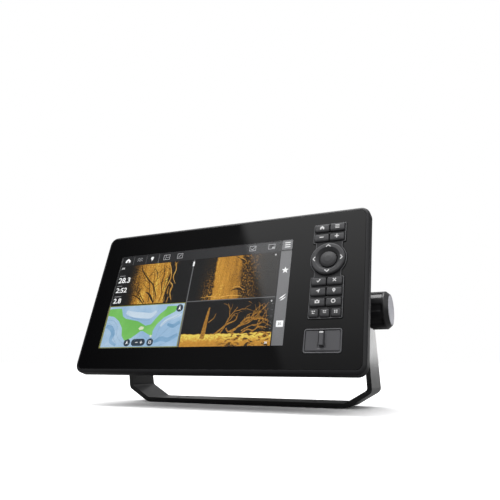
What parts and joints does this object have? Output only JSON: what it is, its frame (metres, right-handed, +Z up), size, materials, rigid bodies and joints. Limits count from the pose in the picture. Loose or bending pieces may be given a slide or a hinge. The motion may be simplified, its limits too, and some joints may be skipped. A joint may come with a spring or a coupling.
{
  "type": "chartplotter display",
  "caption": "Marine chartplotter display head with screen, rubber keys, arrow ring and card door, on a tilting gimbal bracket with two clamping knobs.",
  "frame": {"origin": "centre of the underside of the bracket base", "axes": "+Z up, +X to the right as the user sees the screen, the screen faces -Y and leans back"},
  "size_m": [0.314, 0.1247, 0.1822],
  "materials": {
    "strap": "satin",
    "case_plastic": "satin",
    "glass": "gloss",
    "screen": "gloss",
    "white_plastic": "matte",
    "board": "satin",
    "key_rubber": "satin",
    "door_rubber": "satin",
    "soft_rubber": "matte",
    "black_plastic": "satin",
    "cast_housing": "satin",
    "bare_metal": "satin",
    "brass": "satin",
    "knob_plastic": "satin",
    "knob_cap": "satin"
  },
  "bodies": {
    "bracket": {"gimbal_bracket": "strap", "left_friction_washer": "soft_rubber", "right_friction_washer": "soft_rubber"},
    "display_head": {"front_housing": "case_plastic", "cover_glass": "glass", "glass_adhesive": "soft_rubber", "lcd_panel": "screen", "lcd_backlight": "white_plastic", "keypad_surround": "key_rubber", "keypad_membrane": "soft_rubber", "keypad_board": "board", "card_bay": "door_rubber", "card_reader": "black_plastic", "card_door_pin": "bare_metal", "rear_housing": "cast_housing", "housing_gasket": "soft_rubber", "vent_plug": "black_plastic", "main_board": "board", "thermal_pad": "soft_rubber", "heat_spreader": "cast_housing", "left_pivot_insert": "brass", "right_pivot_insert": "brass", "rear_screw_1": "bare_metal", "rear_screw_2": "bare_metal", "rear_screw_3": "bare_metal", "rear_screw_4": "bare_metal", "rear_screw_5": "bare_metal", "rear_screw_6": "bare_metal", "power_socket": "black_plastic", "sonar_socket": "black_plastic", "network_socket": "black_plastic", "bus_socket": "black_plastic"},
    "key_home": {"key_home": "key_rubber"},
    "key_menu": {"key_menu": "key_rubber"},
    "key_minus": {"key_minus": "key_rubber"},
    "key_plus": {"key_plus": "key_rubber"},
    "key_check": {"key_check": "key_rubber"},
    "key_cancel": {"key_cancel": "key_rubber"},
    "key_navigate": {"key_navigate": "key_rubber"},
    "key_mark": {"key_mark": "key_rubber"},
    "key_camera": {"key_camera": "key_rubber"},
    "key_clock": {"key_clock": "key_rubber"},
    "key_view_1": {"key_view_1": "key_rubber"},
    "key_view_2": {"key_view_2": "key_rubber"},
    "key_view_3": {"key_view_3": "key_rubber"},
    "centre_button": {"centre_button": "key_rubber"},
    "arrow_rocker": {"arrow_pivot_plate": "bare_metal"},
    "arrow_ring": {"arrow_ring": "key_rubber"},
    "card_door": {"card_door": "door_rubber", "card_door_seal": "soft_rubber"},
    "left_knob_carriage": {"left_knob_washer": "bare_metal"},
    "left_knob": {"left_knob_grip": "knob_plastic", "left_knob_cap": "knob_cap", "left_knob_stud": "bare_metal"},
    "right_knob_carriage": {"right_knob_washer": "bare_metal"},
    "right_knob": {"right_knob_grip": "knob_plastic", "right_knob_cap": "knob_cap", "right_knob_stud": "bare_metal"}
  },
  "joints": [
    {"name": "head_tilt", "type": "hinge", "parent": "bracket", "child": "display_head", "pos_m": [0, -0.0153, 0.0892], "axis": [1, 0, 0], "range_deg": [-35, 24]},
    {"name": "key_home_press", "type": "slide", "parent": "display_head", "child": "key_home", "axis": [0, 0.9558, -0.294], "range_m": [0, 0.0008], "stiffness_N_per_m": 1200, "springref_m": -0.0003},
    {"name": "key_menu_press", "type": "slide", "parent": "display_head", "child": "key_menu", "axis": [0, 0.9558, -0.294], "range_m": [0, 0.0008], "stiffness_N_per_m": 1200, "springref_m": -0.0003},
    {"name": "key_minus_press", "type": "slide", "parent": "display_head", "child": "key_minus", "axis": [0, 0.9558, -0.294], "range_m": [0, 0.0008], "stiffness_N_per_m": 1200, "springref_m": -0.0003},
    {"name": "key_plus_press", "type": "slide", "parent": "display_head", "child": "key_plus", "axis": [0, 0.9558, -0.294], "range_m": [0, 0.0008], "stiffness_N_per_m": 1200, "springref_m": -0.0003},
    {"name": "key_check_press", "type": "slide", "parent": "display_head", "child": "key_check", "axis": [0, 0.9558, -0.294], "range_m": [0, 0.0008], "stiffness_N_per_m": 1200, "springref_m": -0.0003},
    {"name": "key_cancel_press", "type": "slide", "parent": "display_head", "child": "key_cancel", "axis": [0, 0.9558, -0.294], "range_m": [0, 0.0008], "stiffness_N_per_m": 1200, "springref_m": -0.0003},
    {"name": "key_navigate_press", "type": "slide", "parent": "display_head", "child": "key_navigate", "axis": [0, 0.9558, -0.294], "range_m": [0, 0.0008], "stiffness_N_per_m": 1200, "springref_m": -0.0003},
    {"name": "key_mark_press", "type": "slide", "parent": "display_head", "child": "key_mark", "axis": [0, 0.9558, -0.294], "range_m": [0, 0.0008], "stiffness_N_per_m": 1200, "springref_m": -0.0003},
    {"name": "key_camera_press", "type": "slide", "parent": "display_head", "child": "key_camera", "axis": [0, 0.9558, -0.294], "range_m": [0, 0.0008], "stiffness_N_per_m": 1200, "springref_m": -0.0003},
    {"name": "key_clock_press", "type": "slide", "parent": "display_head", "child": "key_clock", "axis": [0, 0.9558, -0.294], "range_m": [0, 0.0008], "stiffness_N_per_m": 1200, "springref_m": -0.0003},
    {"name": "key_view_1_press", "type": "slide", "parent": "display_head", "child": "key_view_1", "axis": [0, 0.9558, -0.294], "range_m": [0, 0.0008], "stiffness_N_per_m": 1200, "springref_m": -0.0003},
    {"name": "key_view_2_press", "type": "slide", "parent": "display_head", "child": "key_view_2", "axis": [0, 0.9558, -0.294], "range_m": [0, 0.0008], "stiffness_N_per_m": 1200, "springref_m": -0.0003},
    {"name": "key_view_3_press", "type": "slide", "parent": "display_head", "child": "key_view_3", "axis": [0, 0.9558, -0.294], "range_m": [0, 0.0008], "stiffness_N_per_m": 1200, "springref_m": -0.0003},
    {"name": "centre_button_press", "type": "slide", "parent": "display_head", "child": "centre_button", "axis": [0, 0.9558, -0.294], "range_m": [0, 0.0008], "stiffness_N_per_m": 1200, "springref_m": -0.0003},
    {"name": "arrow_up_down", "type": "hinge", "parent": "display_head", "child": "arrow_rocker", "pos_m": [0.1124, -0.06169, 0.13193], "axis": [1, 0, 0], "range_deg": [-2.5, 2.5], "stiffness_Nm_per_rad": 0.9},
    {"name": "arrow_left_right", "type": "hinge", "parent": "arrow_rocker", "child": "arrow_ring", "pos_m": [0.1124, -0.06169, 0.13193], "axis": [0, 0.294, 0.9558], "range_deg": [-2.5, 2.5], "stiffness_Nm_per_rad": 0.9},
    {"name": "card_door_hinge", "type": "hinge", "parent": "display_head", "child": "card_door", "pos_m": [0.1114, -0.08591, 0.05149], "axis": [1, 0, 0], "range_deg": [0, 90]},
    {"name": "left_knob_travel", "type": "slide", "parent": "display_head", "child": "left_knob_carriage", "axis": [-1, 0, 0], "range_m": [0, 0.0025]},
    {"name": "left_knob_turn", "type": "hinge", "parent": "left_knob_carriage", "child": "left_knob", "pos_m": [-0.145, -0.0153, 0.0892], "axis": [-1, 0, 0], "range_deg": [0, 720]},
    {"name": "right_knob_travel", "type": "slide", "parent": "display_head", "child": "right_knob_carriage", "axis": [1, 0, 0], "range_m": [0, 0.0025]},
    {"name": "right_knob_turn", "type": "hinge", "parent": "right_knob_carriage", "child": "right_knob", "pos_m": [0.145, -0.0153, 0.0892], "axis": [1, 0, 0], "range_deg": [0, 720]}
  ],
  "couplings": [
    {"joint": "left_knob_turn", "follows": "left_knob_travel", "rad_per_m": 5026.6},
    {"joint": "right_knob_turn", "follows": "right_knob_travel", "rad_per_m": 5026.6}
  ]
}
